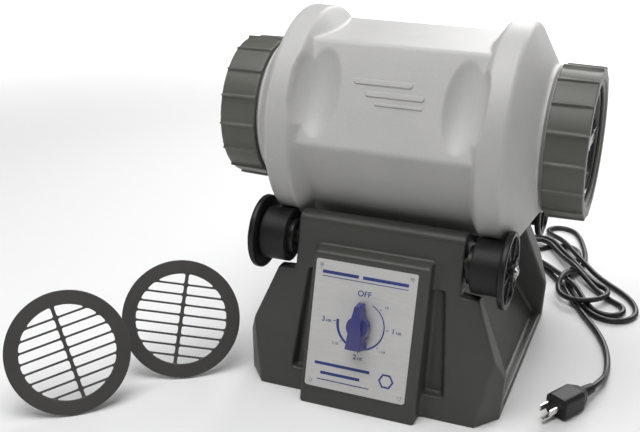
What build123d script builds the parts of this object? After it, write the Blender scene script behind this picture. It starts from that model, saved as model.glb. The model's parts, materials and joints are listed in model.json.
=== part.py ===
"""Rotary rock tumbler: a hexagonal barrel that rolls on four flanged rollers over a moulded base."""
from build123d import *
import math
import os

os.makedirs("parts", exist_ok=True)

# Frame: millimetres, +Z up, +X along the barrel's axis, the control panel faces -Y,
# the origin on the floor under the middle of the base.

# Barrel
AXIS_Z = 270.0
APOTHEM = 97.0
HEX_ROUND = 11.0
SCOOP_X = 70.0
SCOOP_R = 28.0
SCOOP_HALF = 67.0
SCOOP_DEPTH = 8.0
SCOOP_FLATS = (60, 180, 300)
TREAD_R = 118.2
TREAD_IN = 98.0
TREAD_OUT = 122.0
SHOULDER_X = 87.0
SHOULDER_R = 101.0
CONE_END = 147.4
CONE_END_R = 76.6
CONE_SLOPE = (TREAD_R - CONE_END_R) / (CONE_END - TREAD_OUT - 0.8)
NECK_R = 70.0
NECK_END = 184.0
MOUTH_R = 61.0
BARREL_WALL = 4.0
LINER_WALL = 4.0

# End closures: gasket, clear window and screw collar
GASKET_T = 2.5
WINDOW_T = 3.0
WINDOW_R = 69.0
WINDOW_DISH_R = 57.5
WINDOW_DISH_DEPTH = 8.0
GRIP_BAR_LENGTH = 100.0
GRIP_BAR_W = 11.0
COLLAR_IN = 154.0
COLLAR_OUT = 195.0
COLLAR_R = 77.5
COLLAR_BORE = 71.5
COLLAR_OPENING_R = 60.0
COLLAR_RIBS = 16
RIB_W = 3.6
RIB_H = 2.8

# Rollers and their shafts
ROLLER_Y = 97.5
ROLLER_Z = 160.0
TYRE_R = 28.5
HUB_R = 20.0
HUB_IN = 94.0
TYRE_IN = 100.0
TYRE_OUT = 129.5
FLANGE_R = 40.0
FLANGE_IN = 130.5
FLANGE_OUT = 137.0
HUB_OUT = 141.0
HUB_BOSS_R = 11.0
SPOKE_W = 2.5
SPOKE_DEPTH = 3.5
SHAFT_R = 4.0
SHAFT_END = 144.0
SPACER_R = 10.0
CLIP_R = 7.5
CLIP_T = 1.2
BUSH_IN = 76.0
BUSH_FLANGE_T = 3.9
BUSH_FLANGE_R = 8.5
BUSH_R = 7.0
BUSH_BOSS_R = 11.0
FIT = 0.05

# Base housing
BODY_HALF = 90.5
BODY_TOP = 191.0
BASE_HALF = 141.0
WING_HALF = 143.0
WING_KNEE_Z = 48.0
WING_TOP_HALF = 110.0
WING_TOP_Z = 130.0
FRONT_Y = -148.0
FRONT_SLOPE = 0.24
REAR_Y = 146.0
REAR_SLOPE = 0.122
SADDLE_R = 118.0
CORNER_X = 121.0
CORNER_Y = 146.0
CORNER_CUT_Y = 27.0
POCKET_FLOOR = 9.0
POCKET_HALF = 113.0
GROOVE_NEAR = 55.0
WALL = 3.0
PLATE_Z = 2.0
PLATE_T = 2.5
PLATE_GAP = 0.4
POST_R = 5.5
POST_H = 100.0
POST_BORE = 16.0
POST_SPOTS = [(x, y) for x in (-120, 120) for y in (-116, 116)] + [(-46, -143), (46, -143), (0, 128)]
FOOT_SPOTS = [(x, y) for x in (-104, 104) for y in (-104, 104)]

# Control boss on the front of the base
BOSS_LEFT = -66.5
BOSS_RIGHT = 61.5
BOSS_WALL = 4.0
BOSS_Y = -167.0
BOSS_SLOPE = 0.275
BOSS_TOP = 159.0
BOSS_RISE = 6.0
BOSS_BACK = -95.0
BOSS_ANGLE = math.degrees(math.atan(BOSS_SLOPE))
LABEL_W = 111.0
LABEL_H = 138.0
LABEL_T = 1.2
LABEL_X = -6.5
LABEL_Z = 85.5
RIVET_SPOTS = [(x, y) for x in (-49.5, 49.5) for y in (-63, 63)]
RECESS = 2.0
KNOB_UP = 5.5
KNOB_BASE = 3.4
TIMER_NECK_R = 4.8
TIMER_SHAFT_R = 3.0
TIMER_DEPTH = 24.0
NUT_T = 2.2
SCREW_R = 1.8
FOOT_NECK_R = 4.0

# Motor, belt and pulleys
MOTOR_Y = 30.0
MOTOR_Z = 55.0
ROTOR_R = 14.6
STACK_T = 24.0
MOTOR_SHAFT_R = 3.0
BELT_X = -64.0
BELT_W = 8.0
BELT_T = 2.2
DRIVE_PULLEY_R = 20.0
MOTOR_PULLEY_R = 6.5
PULLEY_RIM = 2.8
FAN_X = 36.0
FAN_R = 27.0
FAN_W = 9.0
FAN_BLADES = 7

# Strainers
STRAINER_R = 65.5
STRAINER_OPENING_R = 50.5
STRAINER_T = 4.0
STRAINER_LEAN = 30.0
BAR_TOP = 38.0
BAR_PITCH = 11.3
BAR_W = 2.3
BARS = 8
STRAINER_RIB_W = 4.0

# Cord
CORD_D = 7.0
BOOT_NECK_R = 6.5
EXIT_X = 60.0
EXIT_Z = 25.0
BOOT_TIP_Y = 174.0
LEAD_ROUTE = [(60, 174, 25), (60, 197, 25), (61, 221, 14), (66, 246, 3.5), (75, 271, 3.5)]
TAIL_ROUTE = [(183, 145.5, 3.5), (197.5, 121.5, 3.5), (212.5, 95, 3.5), (225, 64, 3.5), (231.5, 33, 3.5),
              (233.5, 3, 5), (232, -24, 12.5), (223.6, -44.05, 12.5)]
BUNDLE_OUTLINE = [(58, 298), (60, 332), (84, 352), (99, 392), (126, 403), (153, 392), (163, 350),
                  (180, 262), (258, 192), (257, 142), (226, 121), (196, 119), (150, 156), (142, 205),
                  (104, 241), (70, 266)]
BUNDLE_H = 24.0

# Plug
PLUG_START = TAIL_ROUTE[-1]
PLUG_AIM = (-0.5, -0.866, 0)
PLUG_GRIP = 30.0
PLUG_FACE = 60.0


def write(builder, label):
    """Label a finished piece and write its STEP file."""
    builder.part.label = label
    export_step(builder.part, f"parts/{label}.step")


def barrel_axis():
    return Axis((0, 0, AXIS_Z), (1, 0, 0))


def across(x):
    """A plane square to the barrel's axis, with its centre on that axis at x."""
    return Plane(origin=(x, 0, AXIS_Z), x_dir=(0, 1, 0), z_dir=(1, 0, 0))


def shaft_plane(x, y, z):
    """A plane square to a shaft along X, with its centre on the shaft."""
    return Plane(origin=(x, y, z), x_dir=(0, 1, 0), z_dir=(1, 0, 0))


def outward(side, x, y, z):
    """A plane square to X at side * x, its normal pointing away from the middle."""
    return Plane(origin=(side * x, y, z), x_dir=(0, 1, 0), z_dir=(side, 0, 0))


def cone_x(radius, inset):
    """Where the end cone, set in by inset, has the given radius."""
    lean = math.sqrt(1 + 1 / CONE_SLOPE ** 2)
    return TREAD_OUT + 0.8 + (TREAD_R - radius) / CONE_SLOPE - inset * lean


# ---------------------------------------------------------------- barrel

def barrel_form(inset):
    """The barrel's body without its necks, set in by inset on every side."""
    tread = TREAD_R - inset
    scoops = [scoop(side, turn, inset) for side in (-1, 1) for turn in SCOOP_FLATS]
    with BuildPart() as form:
        with BuildSketch(across(-SHOULDER_X - 4)):
            RegularPolygon(APOTHEM - inset, 6, major_radius=False)
            fillet(vertices(), HEX_ROUND)
        extrude(amount=2 * (SHOULDER_X + 4))
        for side in (-1, 1):
            with BuildSketch(Plane.XZ):
                with BuildLine():
                    Polyline(
                        (side * (SHOULDER_X - 7), AXIS_Z),
                        (side * (SHOULDER_X - 7), AXIS_Z + SHOULDER_R - 20),
                        (side * (SHOULDER_X + inset), AXIS_Z + SHOULDER_R - inset),
                        (side * (TREAD_IN + inset), AXIS_Z + tread),
                        (side * cone_x(tread, inset), AXIS_Z + tread),
                        (side * cone_x(MOUTH_R, inset), AXIS_Z + MOUTH_R),
                        (side * cone_x(MOUTH_R, inset), AXIS_Z),
                        close=True,
                    )
                make_face()
                rim = vertices().group_by(Axis.Y)[-1]
                fillet(rim, 3)
            revolve(axis=barrel_axis())
        add(scoops, mode=Mode.SUBTRACT)
    return form.part


def scoop(side, angle, grow):
    """The spindle-shaped cutter that leaves one finger scoop on a flat of the barrel."""
    radius = SCOOP_R + grow
    half = SCOOP_HALF + grow
    lift = APOTHEM - SCOOP_DEPTH + SCOOP_R
    with BuildPart() as cutter:
        with BuildSketch(Plane(origin=(side * SCOOP_X, 0, lift), x_dir=(0, 1, 0), z_dir=(1, 0, 0))):
            Ellipse(half, radius)
            Rectangle(2 * half + 2, radius + 2, align=(Align.CENTER, Align.MIN), mode=Mode.SUBTRACT)
        revolve(axis=Axis((side * SCOOP_X, 0, lift), (0, 1, 0)))
    turned = cutter.part.rotate(Axis.X, angle)
    return turned.moved(Location((0, 0, AXIS_Z)))


def barrel_shell():
    outside = barrel_form(0)
    inside = barrel_form(BARREL_WALL)
    with BuildPart() as shell:
        add(outside)
        for side in (-1, 1):
            with BuildSketch(Plane.XZ):
                with BuildLine():
                    Polyline(
                        (side * 130, AXIS_Z),
                        (side * 130, AXIS_Z + MOUTH_R + 2),
                        (side * cone_x(CONE_END_R, 0), AXIS_Z + CONE_END_R),
                        (side * (CONE_END + 3.2), AXIS_Z + CONE_END_R),
                        (side * (CONE_END + 3.2), AXIS_Z + NECK_R),
                        (side * NECK_END, AXIS_Z + NECK_R),
                        (side * NECK_END, AXIS_Z),
                        close=True,
                    )
                make_face()
            revolve(axis=barrel_axis())
        add(inside, mode=Mode.SUBTRACT)
        with BuildSketch(across(-NECK_END - 1)):
            Circle(MOUTH_R)
        extrude(amount=2 * NECK_END + 2, mode=Mode.SUBTRACT)
    write(shell, "barrel_shell")


def barrel_liner():
    outside = barrel_form(BARREL_WALL)
    inside = barrel_form(BARREL_WALL + LINER_WALL)
    with BuildPart() as liner:
        add(outside)
        add(inside, mode=Mode.SUBTRACT)
        with BuildSketch(across(-NECK_END)):
            Circle(MOUTH_R)
        extrude(amount=2 * NECK_END, mode=Mode.SUBTRACT)
    write(liner, "barrel_liner")


# ---------------------------------------------------------------- end closures

def gasket(side, name):
    start = NECK_END if side > 0 else -NECK_END - GASKET_T
    with BuildPart() as ring:
        with BuildSketch(across(start)):
            Circle(WINDOW_R)
            Circle(MOUTH_R, mode=Mode.SUBTRACT)
        extrude(amount=GASKET_T)
    write(ring, f"window_gasket_{name}")


def window(side, name):
    """A clear lid with a sunk dish that holds a finger bar."""
    seat = NECK_END + GASKET_T
    floor = seat - WINDOW_DISH_DEPTH
    with BuildPart() as lid:
        with BuildSketch(Plane.XZ):
            with BuildLine():
                Polyline(
                    (side * floor, AXIS_Z),
                    (side * floor, AXIS_Z + WINDOW_DISH_R),
                    (side * seat, AXIS_Z + WINDOW_DISH_R + 2),
                    (side * seat, AXIS_Z + WINDOW_R),
                    (side * (seat + WINDOW_T), AXIS_Z + WINDOW_R),
                    (side * (seat + WINDOW_T), AXIS_Z + WINDOW_DISH_R - 2),
                    (side * (floor + WINDOW_T), AXIS_Z + WINDOW_DISH_R - 4),
                    (side * (floor + WINDOW_T), AXIS_Z),
                    close=True,
                )
            make_face()
        revolve(axis=barrel_axis())
        with BuildSketch(outward(side, floor + WINDOW_T - 0.5, 0, AXIS_Z)):
            SlotOverall(GRIP_BAR_LENGTH, GRIP_BAR_W)
            with Locations((0, 0), (-GRIP_BAR_LENGTH / 4, 0), (GRIP_BAR_LENGTH / 4, 0)):
                Circle(GRIP_BAR_W * 0.72)
        extrude(amount=WINDOW_DISH_DEPTH)
    write(lid, f"end_window_{name}")


def collar(side, name):
    """A screw collar with raised ribs, which clamps the window on to the barrel's neck."""
    lip = NECK_END + GASKET_T + WINDOW_T + 0.3
    flat = outward(side, COLLAR_IN, 0, AXIS_Z)
    with BuildPart() as ring:
        with BuildSketch(flat):
            Circle(COLLAR_R)
            with PolarLocations(COLLAR_R + RIB_H / 2 - 1, COLLAR_RIBS):
                Rectangle(RIB_H + 2, RIB_W)
        extrude(amount=COLLAR_OUT - COLLAR_IN, taper=1.2)
        with BuildSketch(flat.offset(-1)):
            Circle(COLLAR_BORE)
        extrude(amount=lip - COLLAR_IN + 1, mode=Mode.SUBTRACT)
        with BuildSketch(flat):
            Circle(COLLAR_OPENING_R)
        extrude(amount=COLLAR_OUT - COLLAR_IN + 1, mode=Mode.SUBTRACT)
        with BuildSketch(flat.offset(COLLAR_OUT - COLLAR_IN - 2)):
            Circle(COLLAR_OPENING_R + 6)
        extrude(amount=3, mode=Mode.SUBTRACT)
    write(ring, f"screw_collar_{name}")


# ---------------------------------------------------------------- rollers

def roller_shaft(row, y):
    with BuildPart() as rod:
        with BuildSketch(shaft_plane(-SHAFT_END, y, ROLLER_Z)):
            Circle(SHAFT_R)
        extrude(amount=2 * SHAFT_END)
        ends = rod.edges().filter_by(GeomType.CIRCLE)
        chamfer(ends, 0.8)
    write(rod, f"{row}_shaft")


def roller_hub(row, y, side, name):
    """A plastic hub with the flange that keeps the barrel from drifting off its rollers."""
    with BuildPart() as hub:
        with BuildSketch(outward(side, HUB_IN, y, ROLLER_Z)):
            Circle(HUB_R)
        extrude(amount=FLANGE_IN - HUB_IN)
        with BuildSketch(outward(side, FLANGE_IN, y, ROLLER_Z)):
            Circle(FLANGE_R)
        extrude(amount=FLANGE_OUT - FLANGE_IN)
        chamfer(hub.edges().filter_by(GeomType.CIRCLE).sort_by(SortBy.RADIUS)[-2:], 1.0)
        with BuildSketch(outward(side, FLANGE_OUT, y, ROLLER_Z)):
            Circle(FLANGE_R - 5)
            Circle(HUB_BOSS_R, mode=Mode.SUBTRACT)
            with PolarLocations(FLANGE_R / 2, 6):
                Rectangle(FLANGE_R + 10, SPOKE_W, mode=Mode.SUBTRACT)
        extrude(amount=-SPOKE_DEPTH, mode=Mode.SUBTRACT)
        with BuildSketch(outward(side, FLANGE_OUT, y, ROLLER_Z)):
            Circle(HUB_BOSS_R)
        extrude(amount=HUB_OUT - FLANGE_OUT)
        with BuildSketch(outward(side, HUB_IN - 1, y, ROLLER_Z)):
            Circle(SHAFT_R)
        extrude(amount=HUB_OUT, mode=Mode.SUBTRACT)
    write(hub, f"{row}_hub_{name}")


def roller_tyre(row, y, side, name):
    start = TYRE_IN if side > 0 else -TYRE_OUT
    with BuildPart() as tyre:
        with BuildSketch(shaft_plane(start, y, ROLLER_Z)):
            Circle(TYRE_R)
        extrude(amount=TYRE_OUT - TYRE_IN)
        chamfer(tyre.edges(), 0.8)
        with BuildSketch(shaft_plane(start, y, ROLLER_Z)):
            Circle(HUB_R)
        extrude(amount=TYRE_OUT - TYRE_IN, mode=Mode.SUBTRACT)
    write(tyre, f"{row}_tyre_{name}")


def ring_pair(y, inner, outer, near, far):
    """Two equal rings on one shaft, one at each end."""
    with BuildPart() as pair:
        for start in (near, -far):
            with BuildSketch(shaft_plane(start, y, ROLLER_Z)):
                Circle(outer)
                Circle(inner, mode=Mode.SUBTRACT)
            extrude(amount=far - near)
    return pair


def rollers():
    for row, y in (("idler", -ROLLER_Y), ("drive", ROLLER_Y)):
        roller_shaft(row, y)
        for side, name in ((-1, "left"), (1, "right")):
            roller_hub(row, y, side, name)
            roller_tyre(row, y, side, name)
        write(ring_pair(y, SHAFT_R, SPACER_R, BODY_HALF + 0.5, HUB_IN), f"{row}_spacers")
        write(ring_pair(y, SHAFT_R, CLIP_R, HUB_OUT, HUB_OUT + CLIP_T), f"{row}_clips")


def shaft_bushings():
    """Four flanged sleeves in the end walls, in which both shafts turn."""
    with BuildPart() as bushes:
        for y in (-ROLLER_Y, ROLLER_Y):
            for side in (-1, 1):
                with BuildSketch(outward(side, BUSH_IN, y, ROLLER_Z)):
                    Circle(BUSH_FLANGE_R)
                    Circle(SHAFT_R + FIT, mode=Mode.SUBTRACT)
                extrude(amount=BUSH_FLANGE_T)
                with BuildSketch(outward(side, BUSH_IN + BUSH_FLANGE_T, y, ROLLER_Z)):
                    Circle(BUSH_R - FIT)
                    Circle(SHAFT_R + FIT, mode=Mode.SUBTRACT)
                extrude(amount=BODY_HALF - BUSH_IN - BUSH_FLANGE_T)
    write(bushes, "shaft_bushings")


# ---------------------------------------------------------------- base

def side_outline(inset):
    """The base seen from its end, from the control panel's wall to the rear wall."""
    front_top = FRONT_Y + FRONT_SLOPE * BODY_TOP
    rear_top = REAR_Y - REAR_SLOPE * BODY_TOP
    crest = math.sqrt(SADDLE_R ** 2 - (AXIS_Z - BODY_TOP) ** 2)
    with BuildSketch(Plane.YZ.offset(-WING_HALF - 5)) as outline:
        with BuildLine():
            Polyline((-crest, BODY_TOP), (front_top, BODY_TOP), (FRONT_Y, 0), (REAR_Y, 0),
                     (rear_top, BODY_TOP), (crest, BODY_TOP))
            ThreePointArc((crest, BODY_TOP), (0, AXIS_Z - SADDLE_R), (-crest, BODY_TOP))
        make_face()
        top = vertices().group_by(Axis.Y)[-1].sort_by(Axis.X)
        fillet(top[0], 11)
        fillet(top[-1], 22)
        fillet(top[1:3], 3)
        if inset:
            offset(amount=-inset)
            Rectangle(2 * REAR_Y - 2 * inset, inset + 2, align=(Align.CENTER, Align.MAX))
            with Locations((0, inset)):
                Rectangle(2 * REAR_Y - 2 * inset - 1, 2 * inset)
    return outline.sketch


def front_outline(inset):
    """The base seen from the front: a narrow body that spreads into wings."""
    with BuildSketch(Plane.XZ.offset(-REAR_Y - 25)) as outline:
        with BuildLine():
            Polyline((0, -inset), (BASE_HALF, -inset), (WING_HALF, WING_KNEE_Z),
                     (WING_TOP_HALF, WING_TOP_Z), (BODY_HALF, WING_TOP_Z),
                     (BODY_HALF, BODY_TOP + 40), (0, BODY_TOP + 40))
            mirror(about=Plane.YZ)
        make_face()
        knees = vertices().filter_by_position(Axis.Y, WING_KNEE_Z - 1, WING_KNEE_Z + 1)
        fillet(knees, 10)
        if inset:
            offset(amount=-inset)
            Rectangle(2 * (BASE_HALF - inset), 3 * inset)
    return outline.sketch


def plan_outline(inset):
    """The base seen from above, with its four corners cut off."""
    with BuildSketch(Plane.XY.offset(-2)) as outline:
        with BuildLine():
            Polyline((WING_HALF, 0), (WING_HALF, CORNER_Y - CORNER_CUT_Y), (CORNER_X, CORNER_Y),
                     (CORNER_X - 6, REAR_Y + 30), (0, REAR_Y + 30))
            mirror(about=Plane.YZ)
            mirror(about=Plane.XZ)
        make_face()
        if inset:
            offset(amount=-inset)
    return outline.sketch


def end_pocket(side, grow):
    """The hollow between a front and a rear wing, deep at the top and shallow at the floor."""
    wall = BODY_HALF - grow
    with BuildPart() as hollow:
        with BuildSketch(Plane.XY.offset(POCKET_FLOOR - grow)):
            with BuildLine():
                Polyline((side * (wall - 0.1), 100 + grow), (side * 160, POCKET_HALF + grow),
                         (side * 160, -POCKET_HALF - grow), (side * (wall - 0.1), -100 - grow), close=True)
            make_face()
        extrude(amount=WING_TOP_Z + 40)
        with BuildSketch(Plane.XZ.offset(-REAR_Y - 25)):
            with BuildLine():
                Polyline((side * wall, BODY_TOP + 40), (side * wall, 74 - grow),
                         (side * (130 - grow), POCKET_FLOOR - grow),
                         (side * 162, POCKET_FLOOR - grow), (side * 162, BODY_TOP + 40), close=True)
            make_face()
            elbow = vertices().filter_by_position(Axis.Y, 74 - grow - 1, 74 - grow + 1)
            fillet(elbow, 16)
        extrude(amount=2 * (REAR_Y + 25), mode=Mode.INTERSECT)
    return hollow.part


def boss_outline(inset):
    """The control boss in section, from the floor up its sloping face to its top."""
    with BuildSketch(Plane.YZ.offset(BOSS_LEFT + inset)) as outline:
        with BuildLine():
            Polyline((BOSS_Y, 0), (BOSS_Y + BOSS_SLOPE * BOSS_TOP, BOSS_TOP),
                     (BOSS_BACK, BOSS_TOP + BOSS_RISE), (BOSS_BACK, 0), close=True)
        make_face()
        fillet(vertices().sort_by(Axis.Y)[-2:], 5)
        if inset:
            offset(amount=-inset)
            with Locations((BOSS_BACK - inset, 0)):
                Rectangle(BOSS_BACK - BOSS_Y - 2.4 * inset, 2 * inset + 1, align=(Align.MAX, Align.CENTER))
    return outline.sketch


def boss_form(inset):
    """The raised block that carries the control panel."""
    outline = boss_outline(inset)
    with BuildPart() as boss:
        extrude(outline, amount=BOSS_RIGHT - BOSS_LEFT - 2 * inset)
        if not inset:
            front = boss.faces().sort_by(Axis.Y)[0]
            sides = front.edges().filter_by(lambda e: abs(e.tangent_at(0.5).X) < 0.1)
            fillet(sides, 3)
    return boss.part


def wing_groove(side, grow):
    """The upright groove beside the control boss, wider and deeper towards the floor."""
    near = side * GROOVE_NEAR
    with BuildPart() as groove:
        for z, front, width, depth in ((24 - grow, FRONT_Y - 4, 33, 21), (134 + grow, -120, 23, 9)):
            with BuildSketch(Plane.XY.offset(z)):
                with BuildLine():
                    Polyline((near, front), (near + side * (width + grow), front),
                             (near + side * (width - 6 + grow), front + depth + grow),
                             (near, front + depth + grow), close=True)
                make_face()
        loft()
    return groove.part


def base_form(inset):
    """The base's closed outer shape, set in by inset."""
    outlines = (side_outline(inset), front_outline(inset), plan_outline(inset))
    hollows = [end_pocket(side, inset) for side in (-1, 1)]
    grooves = [wing_groove(side, inset) for side in (-1, 1)]
    with BuildPart() as form:
        extrude(outlines[0], amount=2 * (WING_HALF + 5))
        extrude(outlines[1], amount=2 * (REAR_Y + 25), mode=Mode.INTERSECT)
        extrude(outlines[2], amount=BODY_TOP + 40, mode=Mode.INTERSECT)
        add(hollows, mode=Mode.SUBTRACT)
        add(grooves, mode=Mode.SUBTRACT)
    return form.part


def label_plane(x=0.0, y=0.0, out=0.0):
    """A plane on the boss's sloping face: x and y from the label's middle, out of the panel."""
    angle = math.radians(BOSS_ANGLE)
    face_y = BOSS_Y + BOSS_SLOPE * LABEL_Z
    origin = (LABEL_X + x, face_y + y * math.sin(angle) - out * math.cos(angle),
              LABEL_Z + y * math.cos(angle) + out * math.sin(angle))
    return Plane(origin=origin, x_dir=(1, 0, 0), z_dir=(0, -math.cos(angle), math.sin(angle)))


def housing_outside():
    """The housing as a solid block: base, control boss and the label's recess."""
    base = base_form(0)
    boss = boss_form(0)
    with BuildPart() as block:
        add(base)
        add(boss)
        with BuildSketch(label_plane(out=-RECESS)):
            RectangleRounded(LABEL_W + 1, LABEL_H + 1, 2.5)
        extrude(amount=20, mode=Mode.SUBTRACT)
    return block.part


def housing_posts():
    """The posts over the bottom screws and the bosses round the shaft bushings."""
    with BuildPart() as posts:
        with BuildSketch(Plane.XY.offset(PLATE_Z + PLATE_T)):
            with Locations(*POST_SPOTS):
                Circle(POST_R)
        extrude(amount=POST_H)
        for y in (-ROLLER_Y, ROLLER_Y):
            for side in (-1, 1):
                with BuildSketch(outward(side, BUSH_IN + BUSH_FLANGE_T, y, ROLLER_Z)):
                    Circle(BUSH_BOSS_R)
                extrude(amount=BODY_HALF - BUSH_IN - BUSH_FLANGE_T)
    return posts.part


def housing_holes():
    """The bores for screws, shafts, timer and cord, and the vents in the rear wall."""
    with BuildPart() as holes:
        with BuildSketch(Plane.XY.offset(-1)):
            with Locations(*POST_SPOTS):
                Circle(SCREW_R)
        extrude(amount=PLATE_Z + PLATE_T + POST_BORE)
        for y in (-ROLLER_Y, ROLLER_Y):
            with BuildSketch(shaft_plane(-BODY_HALF - 1, y, ROLLER_Z)):
                Circle(BUSH_R)
            extrude(amount=2 * BODY_HALF + 2)
        with BuildSketch(label_plane(y=KNOB_UP, out=2)):
            Circle(TIMER_NECK_R + FIT)
        extrude(amount=-WALL - 12)
        with BuildSketch(Plane.XZ.offset(-REAR_Y - 5)):
            with Locations((EXIT_X, EXIT_Z)):
                Circle(BOOT_NECK_R)
            with Locations(*[(x, z) for x in (-32, 0, 32) for z in range(48, 104, 11)]):
                SlotOverall(26, 4)
        extrude(amount=25)
    return holes.part


def base_housing():
    outside = housing_outside()
    cavity = [base_form(WALL), boss_form(BOSS_WALL)]
    posts = housing_posts()
    holes = housing_holes()
    with BuildPart() as shell:
        add(outside)
        add(cavity, mode=Mode.SUBTRACT)
        add(posts)
        add(outside, mode=Mode.INTERSECT)
        add(holes, mode=Mode.SUBTRACT)
    write(shell, "base_housing")


def plate_outline():
    """The housing's footprint just above the floor, with a gap all round."""
    gap = WALL + PLATE_GAP
    edge = BASE_HALF - gap
    back = REAR_Y - gap - 1
    corner = CORNER_X - gap
    turn = CORNER_Y - CORNER_CUT_Y - gap
    left = BOSS_LEFT + gap + 2
    right = BOSS_RIGHT - gap - 2
    front = BOSS_Y + gap + 4
    with BuildSketch(Plane.XY.offset(PLATE_Z)) as outline:
        with BuildLine():
            Polyline((right, -back), (corner, -back), (edge, -turn), (edge, turn), (corner, back),
                     (-corner, back), (-edge, turn), (-edge, -turn), (-corner, -back), (left, -back),
                     (left, front), (right, front), close=True)
        make_face()
    return outline.sketch


def bottom_plate():
    """The vented plate that closes the base from below."""
    outline = plate_outline()
    with BuildPart() as plate:
        extrude(outline, amount=PLATE_T)
        with BuildSketch(Plane.XY.offset(PLATE_Z)):
            with Locations(*POST_SPOTS):
                Circle(SCREW_R + 0.3)
            with Locations(*FOOT_SPOTS):
                Circle(FOOT_NECK_R)
            with GridLocations(60, 9, 2, 8):
                SlotOverall(44, 4)
        extrude(amount=PLATE_T, mode=Mode.SUBTRACT)
    write(plate, "bottom_plate")


def bottom_screws():
    with BuildPart() as screws:
        with BuildSketch(Plane.XY.offset(PLATE_Z - 1.6)):
            with Locations(*POST_SPOTS):
                Circle(4)
        extrude(amount=1.6)
        with BuildSketch(Plane.XY.offset(PLATE_Z)):
            with Locations(*POST_SPOTS):
                Circle(SCREW_R)
        extrude(amount=PLATE_T + 12)
        with BuildSketch(Plane.XY.offset(PLATE_Z - 1.6)):
            with Locations(*POST_SPOTS):
                Rectangle(5, 1)
                Rectangle(1, 5)
        extrude(amount=0.9, mode=Mode.SUBTRACT)
    write(screws, "bottom_screws")


def rubber_feet():
    """Four grommet feet, pushed through the bottom plate, with soles level with the housing's rim."""
    with BuildPart() as feet:
        for start, height, radius in ((0, PLATE_Z, 11), (PLATE_Z, PLATE_T, FOOT_NECK_R),
                                      (PLATE_Z + PLATE_T, 3, FOOT_NECK_R + 2)):
            with BuildSketch(Plane.XY.offset(start)):
                with Locations(*FOOT_SPOTS):
                    Circle(radius)
            extrude(amount=height)
    write(feet, "rubber_feet")


# ---------------------------------------------------------------- control panel

def label_plate():
    with BuildPart() as plate:
        with BuildSketch(label_plane(out=-RECESS)):
            RectangleRounded(LABEL_W, LABEL_H, 2)
            with Locations((0, KNOB_UP)):
                Circle(TIMER_NECK_R + FIT, mode=Mode.SUBTRACT)
            with Locations(*RIVET_SPOTS):
                Circle(1.5, mode=Mode.SUBTRACT)
        extrude(amount=LABEL_T)
    write(plate, "label_plate")


def label_rivets():
    with BuildPart() as rivets:
        with BuildSketch(label_plane(out=-RECESS + LABEL_T)):
            with Locations(*RIVET_SPOTS):
                Circle(2.4)
        extrude(amount=0.9, taper=30)
        with BuildSketch(label_plane(out=-RECESS)):
            with Locations(*RIVET_SPOTS):
                Circle(1.5)
        extrude(amount=LABEL_T)
    write(rivets, "label_rivets")


def timer_body():
    """The clockwork timer: a case behind the panel with a threaded neck through it."""
    back = -BOSS_WALL - 0.3 - TIMER_DEPTH
    with BuildPart() as timer:
        with BuildSketch(label_plane(y=KNOB_UP, out=back)):
            RectangleRounded(46, 50, 4)
        extrude(amount=TIMER_DEPTH)
        with BuildSketch(label_plane(y=KNOB_UP, out=back + 20)):
            Circle(TIMER_NECK_R)
        extrude(amount=-back - 20 + NUT_T + 0.6 - RECESS + LABEL_T)
        with BuildSketch(label_plane(y=KNOB_UP, out=back + 4)):
            Circle(TIMER_SHAFT_R + FIT)
        extrude(amount=60, mode=Mode.SUBTRACT)
    write(timer, "timer_body")


def timer_nut():
    with BuildPart() as nut:
        with BuildSketch(label_plane(y=KNOB_UP, out=-RECESS + LABEL_T)):
            RegularPolygon(6.4, 6, major_radius=False)
            Circle(TIMER_NECK_R, mode=Mode.SUBTRACT)
        extrude(amount=NUT_T)
    write(nut, "timer_nut")


def timer_shaft():
    with BuildPart() as shaft:
        with BuildSketch(label_plane(y=KNOB_UP, out=-22)):
            Circle(TIMER_SHAFT_R)
        extrude(amount=22 + KNOB_BASE + 10)
    write(shaft, "timer_shaft")


def timer_knob():
    """A pointer knob: a round skirt under a bar that narrows towards its tip."""
    with BuildPart() as knob:
        with BuildSketch(label_plane(y=KNOB_UP, out=KNOB_BASE)):
            Circle(12.5)
        extrude(amount=9, taper=4)
        with BuildSketch(label_plane(y=KNOB_UP, out=KNOB_BASE)):
            with BuildLine():
                Polyline((4, 26), (-4, 26), (-8, 4), (-10.5, -24), (10.5, -24), (8, 4), close=True)
            make_face()
            fillet(vertices(), 2.5)
        extrude(amount=17, taper=7)
        with BuildSketch(label_plane(y=KNOB_UP, out=KNOB_BASE - 1)):
            Circle(8.5)
        extrude(amount=3.5, mode=Mode.SUBTRACT)
        with BuildSketch(label_plane(y=KNOB_UP, out=KNOB_BASE - 1)):
            Circle(TIMER_SHAFT_R)
        extrude(amount=11, mode=Mode.SUBTRACT)
    write(knob, "timer_knob")


# ---------------------------------------------------------------- drive

def motor_plane(x):
    return shaft_plane(x, MOTOR_Y, MOTOR_Z)


def motor_stack():
    """The laminated iron frame, with the rotor's bore below and a window for the coil above."""
    with BuildPart() as stack:
        with BuildSketch(motor_plane(-STACK_T / 2)):
            with Locations((0, 17)):
                Rectangle(60, 80)
            Circle(ROTOR_R + 0.4, mode=Mode.SUBTRACT)
            with Locations((0, 34)):
                Rectangle(32, 20, mode=Mode.SUBTRACT)
            with Locations((-25, -18), (25, -18), (-25, 52), (25, 52)):
                Circle(2.1, mode=Mode.SUBTRACT)
        extrude(amount=STACK_T)
    write(stack, "motor_stack")


def motor_coil():
    """The winding on its bobbin, round the iron limb above the window."""
    with BuildPart() as coil:
        with BuildSketch(Plane.XZ.offset(-MOTOR_Y - 15)):
            with Locations((0, MOTOR_Z + 50.5)):
                RectangleRounded(STACK_T + 22, 31.5, 4)
                Rectangle(STACK_T + 0.4, 13.4, mode=Mode.SUBTRACT)
        extrude(amount=30)
    write(coil, "motor_coil")


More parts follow.
